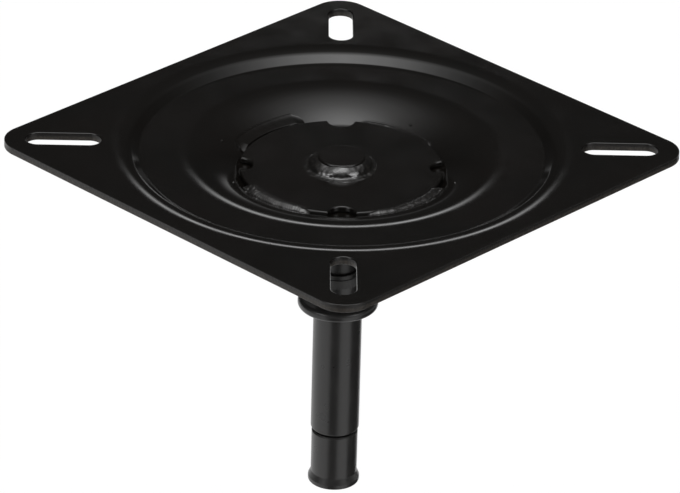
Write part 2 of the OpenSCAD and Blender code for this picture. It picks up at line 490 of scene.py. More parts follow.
class Paint:
    """A material in the making, with its nodes and its surface shader."""

    def __init__(self, name: str) -> None:
        """Starts a material.

        Args:
            name: The material's name.
        """
        self.material = bpy.data.materials.new(name)
        self.material.use_nodes = True
        self.tree = self.material.node_tree
        self.shader = self.tree.nodes["Principled BSDF"]
        self.position = self.node("ShaderNodeTexCoord").outputs["Object"]

    def node(self, kind: str, **settings: object) -> bpy.types.Node:
        """Adds a node.

        Args:
            kind: The node's type.
            **settings: Its properties.

        Returns:
            The new node.
        """
        made = self.tree.nodes.new(kind)
        for key, value in settings.items():
            setattr(made, key, value)
        return made

    def link(self, source: bpy.types.NodeSocket, target: bpy.types.NodeSocket) -> None:
        """Links an output to an input."""
        self.tree.links.new(source, target)

    def stretched(self, scale: Sequence[float]) -> bpy.types.NodeSocket:
        """Stretches the object's coordinates.

        Args:
            scale: The scale along each axis.

        Returns:
            The stretched coordinates.
        """
        mapping = self.node("ShaderNodeMapping")
        mapping.inputs["Scale"].default_value = scale
        self.link(self.position, mapping.inputs["Vector"])
        return mapping.outputs["Vector"]

    def cloud(self, scale: float, detail: float = 2.0, rough: float = 0.5,
              vector: bpy.types.NodeSocket | None = None) -> bpy.types.NodeSocket:
        """Adds a noise pattern.

        Args:
            scale: How many patches lie along a metre.
            detail: The octaves of finer noise.
            rough: How strong the finer noise is.
            vector: The coordinates, or the object's own.

        Returns:
            The pattern's value.
        """
        pattern = self.node("ShaderNodeTexNoise")
        pattern.inputs["Scale"].default_value = scale
        pattern.inputs["Detail"].default_value = detail
        pattern.inputs["Roughness"].default_value = rough
        self.link(vector or self.position, pattern.inputs["Vector"])
        return pattern.outputs["Fac"]

    def spread(self, value: bpy.types.NodeSocket, low: float, high: float, start: float = 0.3,
               end: float = 0.7) -> bpy.types.NodeSocket:
        """Maps a pattern's value from start and end to low and high.

        Args:
            value: The pattern's value.
            low: The result at start and below.
            high: The result at end and above.
            start: The value that gives low.
            end: The value that gives high.

        Returns:
            The mapped value.
        """
        scale = self.node("ShaderNodeMapRange")
        limits = (("From Min", start), ("From Max", end), ("To Min", low), ("To Max", high))
        for key, number in limits:
            scale.inputs[key].default_value = number
        self.link(value, scale.inputs["Value"])
        return scale.outputs["Result"]

    def blend(self, factor: bpy.types.NodeSocket, first: Colour,
              second: Colour) -> bpy.types.NodeSocket:
        """Mixes two colours by a factor.

        Args:
            factor: The share of the second colour.
            first: The first colour.
            second: The second colour.

        Returns:
            The mixed colour.
        """
        mix = self.node("ShaderNodeMix", data_type="RGBA")
        mix.inputs["A"].default_value = (*first, 1)
        mix.inputs["B"].default_value = (*second, 1)
        self.link(factor, mix.inputs["Factor"])
        return mix.outputs["Result"]

    def bump(self, height: bpy.types.NodeSocket, depth: float,
             under: bpy.types.NodeSocket | None = None) -> bpy.types.NodeSocket:
        """Adds a bump.

        Args:
            height: The pattern.
            depth: The height of its full range, in metres.
            under: A coarser bump below it.

        Returns:
            The bumped normal.
        """
        made = self.node("ShaderNodeBump")
        made.inputs["Strength"].default_value = 1.0
        made.inputs["Distance"].default_value = depth
        self.link(height, made.inputs["Height"])
        if under is not None:
            self.link(under, made.inputs["Normal"])
        return made.outputs["Normal"]

    def surface(self, **values: object) -> None:
        """Sets the shader's sockets to numbers, colours or links.

        Args:
            **values: Sockets by name, with underscores for spaces.
        """
        for key, value in values.items():
            socket = self.shader.inputs[key.replace("_", " ")]
            if isinstance(value, bpy.types.NodeSocket):
                self.link(value, socket)
            else:
                socket.default_value = (*value, 1) if isinstance(value, tuple) else value


@dataclass(frozen=True)
class GlossCoat:
    """Black electrocoat with a faint orange peel, and thin places that look a little brown."""

    name: str = "gloss_electrocoat"
    colour: Colour = (0.0045, 0.0042, 0.0036)
    thin_colour: Colour = (0.0062, 0.0050, 0.0042)
    roughness: tuple[float, float] = (0.07, 0.11)
    thin_per_metre: float = 26.0
    haze_per_metre: float = 90.0
    peel_per_metre: float = 420.0
    peel_depth: float = 0.0000016
    index: float = 1.5

    def material(self) -> bpy.types.Material:
        """Makes the coat's shader.

        Returns:
            The new material.
        """
        paint = Paint(self.name)
        thin = paint.spread(paint.cloud(self.thin_per_metre, detail=3.0), 0.0, 1.0)
        peel = paint.bump(paint.cloud(self.peel_per_metre, detail=1.0), self.peel_depth)
        haze = paint.cloud(self.haze_per_metre, detail=4.0)
        paint.surface(
            Base_Color=paint.blend(thin, self.colour, self.thin_colour),
            Roughness=paint.spread(haze, *self.roughness),
            IOR=self.index,
            Normal=peel,
        )
        return paint.material


@dataclass(frozen=True)
class ShearedEdge:
    """The sheet's cut edge: a burnished band above a torn, grainy one, both thinly coated."""

    name: str = "sheared_edge"
    colour: Colour = (0.012, 0.011, 0.010)
    torn_colour: Colour = (0.048, 0.041, 0.034)
    roughness: tuple[float, float] = (0.28, 0.42)
    burnished_height: float = -0.0011
    torn_height: float = -0.0016
    grains_per_metre: tuple[float, float, float] = (1500.0, 1500.0, 700.0)
    grain_depth: float = 0.00022
    grain_tint: tuple[float, float] = (0.1, 1.0)
    grain_levels: tuple[float, float] = (0.35, 0.65)
    index: float = 1.38

    def material(self) -> bpy.types.Material:
        """Makes the cut edge's shader.

        Returns:
            The new material.
        """
        paint = Paint(self.name)
        split = paint.node("ShaderNodeSeparateXYZ")
        paint.link(paint.position, split.inputs["Vector"])
        torn = paint.spread(split.outputs["Z"], 1.0, 0.0, self.torn_height, self.burnished_height)
        grains = paint.stretched(self.grains_per_metre)
        grain = paint.cloud(1.0, detail=6.0, rough=0.65, vector=grains)
        tint = paint.node("ShaderNodeMath", operation="MULTIPLY")
        paint.link(torn, tint.inputs[0])
        paint.link(paint.spread(grain, *self.grain_tint, *self.grain_levels), tint.inputs[1])
        paint.surface(
            Base_Color=paint.blend(tint.outputs["Value"], self.colour, self.torn_colour),
            Roughness=paint.spread(torn, *self.roughness, 0.0, 1.0),
            IOR=self.index,
            Normal=paint.bump(grain, self.grain_depth),
        )
        return paint.material


@dataclass(frozen=True)
class WeldCoat:
    """The same electrocoat over a weld, where it keeps the bead's scale and fine grain."""

    name: str = "coated_weld_bead"
    colour: Colour = (0.0060, 0.0055, 0.0050)
    scale_colour: Colour = (0.016, 0.014, 0.012)
    roughness: tuple[float, float] = (0.09, 0.20)
    haze_per_metre: float = 500.0
    scale_per_metre: float = 900.0
    scale_depth: float = 0.00002
    scale_levels: tuple[float, float] = (0.45, 0.7)
    grains_per_metre: float = 3600.0
    grain_depth: float = 0.000004
    index: float = 1.9

    def material(self) -> bpy.types.Material:
        """Makes the coated weld's shader.

        Returns:
            The new material.
        """
        paint = Paint(self.name)
        scale = paint.cloud(self.scale_per_metre, detail=3.0, rough=0.6)
        grain = paint.cloud(self.grains_per_metre, detail=2.0)
        bumps = paint.bump(grain, self.grain_depth, under=paint.bump(scale, self.scale_depth))
        tint = paint.spread(scale, 0.0, 1.0, *self.scale_levels)
        haze = paint.cloud(self.haze_per_metre, detail=3.0)
        paint.surface(
            Base_Color=paint.blend(tint, self.colour, self.scale_colour),
            Roughness=paint.spread(haze, *self.roughness),
            IOR=self.index,
            Normal=bumps,
        )
        return paint.material


@dataclass(frozen=True)
class MouldedNylon:
    """Satin black nylon with the fine grain of its mould."""

    name: str = "moulded_nylon"
    colour: Colour = (0.0205, 0.0200, 0.0195)
    pale_colour: Colour = (0.0250, 0.0240, 0.0232)
    roughness: tuple[float, float] = (0.27, 0.33)
    clouds_per_metre: float = 110.0
    grains_per_metre: float = 2600.0
    grain_depth: float = 0.000006
    index: float = 1.5

    def material(self) -> bpy.types.Material:
        """Makes the nylon's shader.

        Returns:
            The new material.
        """
        paint = Paint(self.name)
        clouds = paint.cloud(self.clouds_per_metre, detail=4.0)
        grain = paint.cloud(self.grains_per_metre, detail=2.0)
        tint = paint.spread(clouds, 0.0, 1.0)
        paint.surface(
            Base_Color=paint.blend(tint, self.colour, self.pale_colour),
            Roughness=paint.spread(clouds, *self.roughness),
            IOR=self.index,
            Normal=paint.bump(grain, self.grain_depth),
        )
        return paint.material


@dataclass(frozen=True)
class Finishes:
    """The finished materials of the whole mount."""

    coat: bpy.types.Material
    edge: bpy.types.Material
    weld: bpy.types.Material
    nylon: bpy.types.Material
    dull: bpy.types.Material

    @classmethod
    def made(cls) -> Finishes:
        """Makes every material once."""
        kinds = (GlossCoat(), ShearedEdge(), WeldCoat(), MouldedNylon(),
                 GlossCoat(name="dull_electrocoat", roughness=(0.38, 0.46)))
        return cls(*(kind.material() for kind in kinds))


# The pressed plate


@dataclass
class Dish:
    """The pressed dish, as a profile from the pin's hole outwards."""

    outer_r: float = 83.2
    roll_bend: float = 30.0
    roll_slope: float = math.radians(11.0)
    shoulder_bend: float = 4.5
    shoulder_slope: float = math.radians(36.5)
    crease_bend: float = 1.0
    step_depth: float = 3.3
    bowl_r: float = 59.6
    bowl_slope: float = math.radians(36.0)
    foot_bend: float = 3.0
    floor_r: float = 35.5
    hole_r: float = 6.36
    run_out: float = 1.0
    bowl_bend: float = field(init=False)
    foot_r: float = field(init=False)
    floor_z: float = field(init=False)

    def __post_init__(self) -> None:
        """Works out the slopes and heights that follow from the sizes."""
        self.bowl_bend = (self.bowl_r - self.floor_r) / math.sin(self.bowl_slope) - self.foot_bend
        self.foot_r = self.floor_r + self.foot_bend * math.sin(self.bowl_slope)
        bends = self.bowl_bend + self.foot_bend
        self.floor_z = -self.step_depth - bends * (1 - math.cos(self.bowl_slope))

    def profile(self, degrees_per_step: float) -> Line2D:
        """Returns the upper face's profile, from the pin's hole to the flat rim.

        Args:
            degrees_per_step: The largest turn in one piece of a bend.

        Returns:
            Radius and height of each point, with the normals.
        """
        half_bowl = math.tan(self.bowl_slope / 2)
        half_roll = self.roll_bend * math.tan(self.roll_slope / 2)
        roll_start = self.outer_r - half_roll
        run = half_roll + self.shoulder_bend * math.tan((self.shoulder_slope - self.roll_slope) / 2)
        brow_r = roll_start - run * math.cos(self.roll_slope)
        brow_z = -run * math.sin(self.roll_slope)
        crease = brow_r - (self.step_depth + brow_z) / math.tan(self.shoulder_slope)
        return rounded_profile(
            [
                (self.hole_r, self.floor_z, 0.0),
                (self.floor_r + self.foot_bend * half_bowl, self.floor_z, self.foot_bend),
                (self.bowl_r - self.bowl_bend * half_bowl, -self.step_depth, self.bowl_bend),
                (crease, -self.step_depth, self.crease_bend),
                (brow_r, brow_z, self.shoulder_bend),
                (roll_start, 0.0, self.roll_bend),
                (self.outer_r + self.run_out, 0.0, 0.0),
            ],
            degrees_per_step,
        )

    def height(self, radius: float) -> float:
        """Returns the upper face's height at a radius in the bowl.

        Args:
            radius: The radius.

        Returns:
            The height.
        """
        if radius > self.foot_r:
            inward = (self.bowl_r - radius) / self.bowl_bend
            return -self.step_depth - self.bowl_bend * (1 - math.sqrt(1 - inward * inward))
        out = max(radius - self.floor_r, 0.0) / self.foot_bend
        return self.floor_z + self.foot_bend * (1 - math.sqrt(1 - out * out))


@dataclass
class MountingPlate:
    """The square sheet with its dish and four slots."""

    finishes: Finishes
    dish: Dish
    side: float = 177.8
    thickness: float = 3.05
    corner_r: float = 11.0
    slot_inset: float = 25.82
    slot_length: float = 27.1
    slot_width: float = 9.0
    rim_round: float = 0.35
    under_round: float = 0.4
    slot_round: float = 0.5
    segments: int = 320
    corner_steps: int = 24
    side_steps: int = 96
    slot_end_steps: int = 28
    slot_side_steps: int = 12
    rim_wall_steps: int = 8
    slot_wall_steps: int = 4
    degrees_per_step: float = 1.6

    def cut_edge(self, skin: Skin, outline: Line2D, rounding: float, steps: int) -> np.ndarray:
        """Adds one of the sheet's cut edges: coated above, with the sheared finish below.

        Args:
            skin: The sheet's skin.
            outline: The edge's closed outline.
            rounding: The radius of its upper edge.
            steps: The pieces in its upright part.

        Returns:
            The rows' indices from the upper face to the lower.
        """
        rows, upper = skin.wall(outline, 0.0, -self.thickness, rounding, self.under_round, steps)
        skin.join(rows[: upper - 1])
        skin.join(rows[upper - 2 :], finish=1)
        return rows

    def build(self) -> bpy.types.Object:
        """Builds the sheet as one closed mesh, whose cut edges have their own finish.

        Returns:
            The finished piece.
        """
        skin = Skin()
        outline = rounded_square(self.side, self.corner_r, self.corner_steps, self.side_steps)
        edges = [self.cut_edge(skin, outline, self.rim_round, self.rim_wall_steps)]
        slot_reach = self.side / math.sqrt(2) - self.slot_inset
        for i in range(4):
            hole = slot_outline(slot_reach, self.slot_length, self.slot_width, i * math.pi / 2,
                                self.slot_end_steps, self.slot_side_steps)
            edges.append(self.cut_edge(skin, hole, self.slot_round, self.slot_wall_steps))
        profile = self.dish.profile(self.degrees_per_step)
        lower = Line2D(profile.points - self.thickness * profile.normals, -profile.normals)
        top = skin.revolve(profile, self.segments)
        under = skin.revolve(lower, self.segments)
        skin.join(top)
        skin.join(under)
        skin.join(np.stack([top[0], under[0]]))
        skin.fill([*(rows[0] for rows in edges), top[-1]])
        skin.fill([*(rows[-1] for rows in edges), under[-1]])
        piece = skin.built("plate_sheet", [self.finishes.coat, self.finishes.edge])
        return placed(piece, Body.SEAT_PLATE, Slot.COATED_STEEL, "mounting_plate")


@dataclass
class HubDisc:
    """The round disc with four half-round notches that lies on the dish's floor."""

    finishes: Finishes
    dish: Dish
    radius: float = 36.84
    thickness: float = 2.34
    notch_r: float = 4.9
    notch_depth: float = 4.9
    corner: float = 0.7
    edge_round: float = 0.7
    lower_round: float = 0.8
    hole_r: float = 6.36
    hole_round: float = 0.1
    notch_steps: int = 18
    corner_steps: int = 6
    rim_steps: int = 48
    hole_steps: int = 64

    @property
    def top(self) -> float:
        """The height of the disc's upper face."""
        return self.dish.floor_z + self.thickness

    def outline(self) -> Line2D:
        """Makes the disc's outline: a notch, a small corner, an arc and a small corner, four times.

        Returns:
            The closed outline, anticlockwise.
        """
        notch = self.radius - self.notch_depth + self.notch_r
        near, reach = self.radius - self.corner, self.notch_r + self.corner
        along = (near**2 + notch**2 - reach**2) / (2 * notch)
        aside = math.sqrt(near**2 - along**2)
        rim_angle = math.atan2(aside, along)
        tuck = math.atan2(aside, along - notch)
        few = self.corner_steps
        mouth = arc((notch, 0), self.notch_r, FULL_TURN - tuck, tuck, self.notch_steps, hollow=True)
        corner_up = arc((along, aside), self.corner, tuck - math.pi, rim_angle, few)
        rim = arc((0, 0), self.radius, rim_angle, math.pi / 2 - rim_angle, self.rim_steps)
        corner_down = arc((along, -aside), self.corner, -rim_angle, math.pi - tuck, few)
        quarter = reduce(Line2D.joined, [mouth, corner_up, rim, corner_down.turned(math.pi / 2)])
        quarters = [quarter.turned(i * math.pi / 2) for i in range(4)]
        return reduce(Line2D.joined, quarters).without_repeats()

    def build(self) -> bpy.types.Object:
        """Builds the disc.

        Returns:
            The finished piece.
        """
        skin = Skin()
        floor = self.dish.floor_z
        edge, _ = skin.wall(self.outline(), self.top, floor, self.edge_round, self.lower_round, 4)
        skin.join(edge)
        hole = circle(self.hole_r, self.hole_steps, hollow=True)
        bore, _ = skin.wall(hole, self.top, floor, self.hole_round, self.hole_round, 2, 2)
        skin.join(bore)
        skin.fill([edge[0], bore[0]])
        skin.fill([edge[-1], bore[-1]])
        piece = skin.built("notched_hub_disc", [self.finishes.coat])
        return placed(piece, Body.SEAT_PLATE, Slot.COATED_STEEL, "hub_disc")


# Welds


def lumps(point: Sequence[float], size: float, seed: float) -> float:
    """Returns smooth noise from -1 to 1 at a point in millimetres, for lumps of a size."""
    return noise.noise(Vector(point) / size + Vector((seed, 2 * seed, 3 * seed)))


def smoothed(corners: Sequence[Sequence[float]], rounds: int = 3) -> np.ndarray:
    """Rounds a line off by cutting its corners again and again; its two ends stay.

    Args:
        corners: The line's corners.
        rounds: How often the corners are cut.

    Returns:
        The smooth line's points.
    """
    line = np.array(corners, float)
    for _ in range(rounds):
        before, after = line[:-1], line[1:]
        cut = np.stack([0.75 * before + 0.25 * after, 0.25 * before + 0.75 * after], axis=1)
        line = np.vstack([line[:1], cut.reshape(-1, line.shape[1]), line[-1:]])
    return line


@dataclass
class Bead:
    """A hand-laid weld bead, swept round the pin's axis.

    The face is a smooth line along its corners, from the head, high on one wall, to the toe on
    the other. Lumps of two sizes and arched ripples stand out from it, and fade at its edges.
    """

    face: Callable[[float], Sequence[Place]]
    back: Callable[[float], Sequence[Place]]
    start: float
    end: float
    seed: float
    closed: bool = False
    steps: int = 300
    way: int = 1
    lump_size: float = 3.0
    lump_depth: float = 0.16
    finer_times: float = 2.3
    finer_share: float = 0.5
    finer_seed: float = 7.0
    ripple_size: float = 0.95
    ripple_depth: float = 0.045
    ripple_arch: float = 6.4
    ripple_stray: float = 0.8
    full_length: float = 2.0
    edge_rise: float = 2.6

    def section(self, angle: float, share: float) -> np.ndarray:
        """Returns the bead's closed section at an angle.

        Args:
            angle: The angle about the pin's axis, in radians.
            share: How far along the bead it is, from 0 to 1.

        Returns:
            Radius and height of each point.
        """
        line = smoothed(self.face(share))
        heading = np.gradient(line, axis=0)
        out = np.column_stack([-heading[:, 1], heading[:, 0]])
        out *= self.way / np.maximum(np.linalg.norm(out, axis=1, keepdims=True), TINY)
        across = np.linspace(0, 1, len(line))
        fullness = min(1.0, np.linalg.norm(line[-1] - line[0]) / self.full_length)
        finer_size, finer_seed = self.lump_size / self.finer_times, self.seed + self.finer_seed
        moved = []
        for point, away, u in zip(line, out, across):
            place = (point[0] * math.cos(angle), point[0] * math.sin(angle), point[1])
            finer = lumps(place, finer_size, finer_seed)
            wave = lumps(place, self.lump_size, self.seed) + self.finer_share * finer
            arch = self.ripple_arch * (u - 0.5) ** 2
            chevron = angle * point[0] / self.ripple_size + arch + self.ripple_stray * wave
            ripple = 1 - abs(math.sin(math.pi * chevron))
            grow = fullness * min(1.0, math.sin(math.pi * u) * self.edge_rise)
            height = self.lump_depth * wave + self.ripple_depth * ripple
            moved.append(point + away * grow * height)
        return np.array([*moved, *self.back(share)])

    def add_to(self, skin: Skin) -> None:
        """Adds the bead's points and faces.

        Args:
            skin: The skin that takes them.
        """
        count = self.steps if self.closed else self.steps + 1
        rows = []
        for i in range(count):
            share = i / self.steps
            angle = self.start + share * (self.end - self.start)
            radius, height = self.section(angle, share).T
            east, north = radius * math.cos(angle), radius * math.sin(angle)
            rows.append(np.column_stack([east, north, height]))
        points = np.array(rows)
        indices = skin.add(points, np.ones_like(points))
        skin.join(indices, stack=self.closed)
        if not self.closed:
            skin.cap_ends(indices)


@dataclass
class Spatter:
    """Small drops of weld metal that stuck beside a bead."""

    place: Callable[[float], Place]
    start: float
    end: float
    seed: int
    count: int = 9
    smallest: float = 0.22
    largest: float = 0.6
    lift: float = 0.15
    flatness: float = 0.7
    rings: int = 8
    sides: int = 12

    def add_to(self, skin: Skin) -> None:
        """Adds the drops.

        Args:
            skin: The skin that takes them.
        """
        turn = np.arange(self.sides) * FULL_TURN / self.sides
        dice = random.Random(self.seed)
        for _ in range(self.count):
            share = dice.random()
            angle = self.start + share * (self.end - self.start)
            radius, height = self.place(dice.random())
            size = dice.uniform(self.smallest, self.largest)
            middle = np.array([radius * math.cos(angle), radius * math.sin(angle),
                               height + self.lift * size])
            rows = []
            for k in range(1, self.rings):
                lean = math.pi * k / self.rings
                level = np.full(self.sides, self.flatness * math.cos(lean))
                ring = [math.sin(lean) * np.cos(turn), math.sin(lean) * np.sin(turn), level]
                rows.append(middle + size * np.column_stack(ring))
            points = np.array(rows)
            indices = skin.add(points, np.ones_like(points))
            skin.join(indices)
            skin.cap_ends(indices)


@dataclass(frozen=True)
class Station:
    """A place along a hub weld, with the corners of its face there.

    Each corner is its distance beyond the disc's rim and its height over the disc's face. The toe
    comes last: it is only a distance, and lies on the bowl.
    """

    share: float
    corners: tuple[Place, ...]
    toe: float


@dataclass
class HubWelds:
    """The four beads that join the disc to the bowl."""

    finishes: Finishes
    dish: Dish
    disc: HubDisc
    gap: float = 0.02
    end_size: float = 0.10
    end_rise: float = 3.0
    least_height: float = 0.05
    root_share: float = 0.45
    ripple_share: float = 0.3
    spatter_overrun: float = 0.12
    spatter_start: float = 0.3
    spatter_width: float = 2.2

    def weld(self, number: int, quadrant: Quadrant, span: tuple[float, float],
             stations: Sequence[Station], lump_depth: float, drops: int, seed: float,
             finish: bpy.types.Material) -> bpy.types.Object:
        """Builds one bead.

        Args:
            number: The bead's number, as in its solid's name.
            quadrant: The quarter that it lies in.
            span: Its first and last angle in that quarter, in degrees.
            stations: Its face at places along it, in order; all have the same number of corners.
            lump_depth: The height of its lumps.
            drops: How many drops of spatter lie beside it.
            seed: The seed of its lumps.
            finish: Its material.

        Returns:
            The finished piece.
        """
        start, end = (math.radians(quadrant.value + angle) for angle in span)
        wall = self.disc.radius + self.gap
        places = [station.share for station in stations]
        known = np.array([[*np.ravel(station.corners), station.toe] for station in stations])

        def full(share: float) -> float:
            """Returns the bead's fullness, which falls off at its two ends."""
            rise = math.sin(math.pi * min(max(share, 0.0), 1.0))
            return self.end_size + (1 - self.end_size) * min(1.0, self.end_rise * rise) ** 0.5

        def on_bowl(out: float) -> Place:
            """Returns the point of the bowl at a distance beyond the disc's rim."""
            radius = self.disc.radius + out
            return radius, self.dish.height(radius) + self.gap

        def face(share: float) -> list[Place]:
            """Finds the corners of the face at a place along the bead.

            Args:
                share: How far along the bead it is, from 0 to 1.

            Returns:
                Radius and height of each corner.
            """
            values = [float(np.interp(share, places, column)) for column in known.T]
            size = full(share)
            corners = []
            for out, rise in zip(values[:-1:2], values[1:-1:2]):
                radius = wall + out * size
                low = self.dish.height(radius) + 2 * self.gap
                height = max(self.disc.top + rise - low, self.least_height)
                corners.append((radius, low + height * size))
            return [*corners, on_bowl(values[-1] * size)]

        def back(share: float) -> list[Place]:
            """Returns the corners of the hidden side."""
            root = self.root_share * (face(share)[-1][0] - self.disc.radius)
            return [on_bowl(root), (wall, self.dish.floor_z + self.gap)]

        def beside(luck: float) -> Place:
            """Returns a place beyond the toe for a drop of spatter."""
            return on_bowl(max(known[:, -1]) + self.spatter_start + self.spatter_width * luck)

        skin = Skin()
        ripple_depth = self.ripple_share * lump_depth
        bead = Bead(face, back, start, end, seed, lump_depth=lump_depth, ripple_depth=ripple_depth)
        bead.add_to(skin)
        Spatter(beside, start - self.spatter_overrun, end + self.spatter_overrun, int(seed),
                drops).add_to(skin)
        piece = skin.built(f"hub_bead_{number}", [finish], exact=False)
        return placed(piece, Body.SEAT_PLATE, Slot.COATED_WELD, f"hub_weld_{number}")

    def build(self) -> None:
        """Builds the four beads."""
        self.weld(1, Quadrant.FAR_RIGHT, (30.0, 80.0), [
            Station(0.0, ((0.0, 0.0), (0.9, -0.2), (1.6, -0.2), (2.1, 0.3)), 2.8),
            Station(0.5, ((0.0, 0.0), (0.7, -0.2), (1.3, -0.25), (1.8, 0.2)), 2.4),
            Station(1.0, ((0.0, 0.0), (0.6, -0.2), (1.1, -0.25), (1.6, 0.15)), 2.2),
        ], lump_depth=0.06, drops=1, seed=11.0, finish=self.finishes.coat)
        self.weld(2, Quadrant.FAR_LEFT, (20.5, 71.5), [
            Station(0.0, ((0.0, 0.0), (0.05, 0.12), (0.4, 0.25), (4.8, 1.05), (5.2, 1.65)), 5.9),
            Station(0.3, ((0.0, 0.0), (0.05, 0.12), (0.4, 0.25), (4.6, 1.0), (5.0, 1.6)), 5.6),
            Station(1.0, ((0.0, 0.0), (0.05, 0.12), (0.4, 0.25), (4.6, 1.0), (5.0, 1.6)), 5.6),
        ], lump_depth=0.03, drops=1, seed=23.0, finish=self.finishes.coat)
        self.weld(3, Quadrant.NEAR_LEFT, (24.5, 73.0), [
            Station(0.0, ((-2.4, 0.0), (-1.6, 0.5), (0.4, 1.2), (2.4, -0.1)), 3.8),
            Station(0.35, ((-2.4, 0.0), (-1.3, 0.5), (0.8, 1.3), (2.8, -0.2)), 3.7),
            Station(1.0, ((-2.0, 0.0), (-1.0, 0.5), (1.0, 1.3), (2.9, -0.2)), 3.6),
        ], lump_depth=0.25, drops=6, seed=37.0, finish=self.finishes.weld)
        self.weld(4, Quadrant.NEAR_RIGHT, (13.5, 68.0), [
            Station(0.0, ((-1.2, 0.0), (-0.6, 0.4), (1.2, 1.1), (3.0, -0.3)), 3.6),
            Station(0.4, ((-0.6, 0.0), (-0.3, 0.4), (1.4, 0.5), (2.8, -0.2)), 3.6),
            Station(1.0, ((-0.8, 0.0), (-0.4, 0.7), (1.6, 0.7), (3.6, 0.1)), 4.8),
        ], lump_depth=0.18, drops=3, seed=41.0, finish=self.finishes.weld)


# The pin and what it carries


@dataclass
class Pin:
    """The steel pin, its welds and its stop ring."""

    finishes: Finishes
    plate: MountingPlate
    disc: HubDisc
    radius: float = 6.35
    head_r: float = 8.6
    head_h: float = 4.15
    crown: float = 0.6
    tip: float = -138.2
    tip_chamfer: float = 1.0
    groove_depth: float = 0.5
    groove_length: float = 3.0
    grooves: tuple[float, float] = (-108.2, -130.7)
    ring_r: float = 7.6
    ring_top: float = -49.9
    ring_t: float = 2.0
    ring_play: float = 0.01
    gap: float = 0.02
    head_leg: float = 4.6
    foot_leg: float = 4.2
    weld_rise: float = 0.76
    weld_side: tuple[Place, ...] = ((0.22, 0.86), (0.50, 0.52), (0.62, 0.12), (0.80, 0.05))
    weld_toe: float = 1.06
    weld_shift: float = 0.12
    uneven_r: float = 8.0
    uneven_out: tuple[float, float] = (0.10, 6.0)
    uneven_up: tuple[float, float] = (0.07, 5.0)

    def bar(self) -> bpy.types.Object:
        """Builds the pin as a turned bar with an upset head, and with a duller coat below it.

        Returns:
            The finished piece.
        """
        top, head_top = self.disc.top, self.disc.top + self.head_h
        half, neck = self.groove_length / 2, self.radius - self.groove_depth
        corners: list[Corner] = [(0.0, head_top, 0.0), (self.head_r, head_top, self.crown),
                                 (self.head_r, top, 0.05), (self.radius, top, 0.02)]
        for z in self.grooves:
            corners += [(self.radius, z + half, 0.1), (neck, z + half - self.groove_depth, 0.1),
                        (neck, z - half + self.groove_depth, 0.1), (self.radius, z - half, 0.1)]
        corners += [(self.radius, self.tip + self.tip_chamfer, 0.2),
                    (self.radius - self.tip_chamfer, self.tip, 0.2), (0.0, self.tip, 0.0)]
        pin = lathed("turned_pin", corners, self.finishes.coat, Body.SEAT_PLATE,
                     Slot.COATED_STEEL, "pin")
        pin.data.materials.append(self.finishes.dull)
        for polygon in pin.data.polygons:
            if polygon.center.z < top * MM:
                polygon.material_index = 1
        return pin

    def ring(self) -> bpy.types.Object:
        """Builds the stop ring.

        Returns:
            The finished piece.
        """
        inner, under = self.radius + self.ring_play, self.ring_top - self.ring_t
        corners = [(inner, self.ring_top, 0.1), (self.ring_r, self.ring_top, 0.4),
                   (self.ring_r, under, 0.4), (inner, under, 0.1)]
        return lathed("pressed_stop_ring", corners, self.finishes.dull, Body.SEAT_PLATE,
                      Slot.COATED_STEEL, "stop_ring", closed=True)

    def corner_weld(self, name: str, node: str, bar_r: float, face: float, leg: float, way: int,
                    seed: float) -> bpy.types.Object:
        """Builds a bead all round a bar, on a flat face.

        Args:
            name: The piece's name.
            node: The solid that it stands for.
            bar_r: The bar's radius.
            face: The flat face's height.
            leg: How far the bead reaches out.
            way: 1 where it stands on the face, -1 where it hangs from it.
            seed: The seed of its lumps.

        Returns:
            The finished piece.
        """
        root = (bar_r + self.gap, face + way * self.gap)

        def uneven(angle: float, amount: float, size: float) -> float:
            """Returns the bead's unevenness at an angle, as an amount for lumps of a size."""
            place = (self.uneven_r * math.cos(angle), self.uneven_r * math.sin(angle), seed)
            return amount * lumps(place, size, seed)

        def corners(share: float) -> list[Place]:
            """Finds the corners of the face: a shoulder, a steep side and a foot that runs out.

            Args:
                share: How far round the bead it is, from 0 to 1.

            Returns:
                Radius and height of each corner.
            """
            angle = share * FULL_TURN
            shift = self.weld_shift * math.cos(angle)
            out = leg * (1.0 + uneven(angle, *self.uneven_out) - shift)
            up = way * leg * (self.weld_rise + uneven(angle, *self.uneven_up))
            side = [(bar_r + reach * out, face + rise * up) for reach, rise in self.weld_side]
            return [(root[0], face + up), *side, (bar_r + self.weld_toe * out, root[1])]

        def back(_share: float) -> list[Place]:
            """Returns the corner between the bar and the face."""
            return [root]

        skin = Skin()
        Bead(corners, back, 0.0, FULL_TURN, seed, closed=True, steps=360, way=way).add_to(skin)
        piece = skin.built(name, [self.finishes.weld], exact=False)
        return placed(piece, Body.SEAT_PLATE, Slot.COATED_WELD, node)

    def build(self) -> None:
        """Builds the pin, its two welds and its ring."""
        underside = self.plate.dish.floor_z - self.plate.thickness
        self.bar()
        self.ring()
        self.corner_weld("head_bead", "head_weld_ring", self.head_r, self.disc.top, self.head_leg,
                         way=1, seed=53.0)
        self.corner_weld("foot_bead", "foot_weld_ring", self.radius, underside, self.foot_leg,
                         way=-1, seed=67.0)


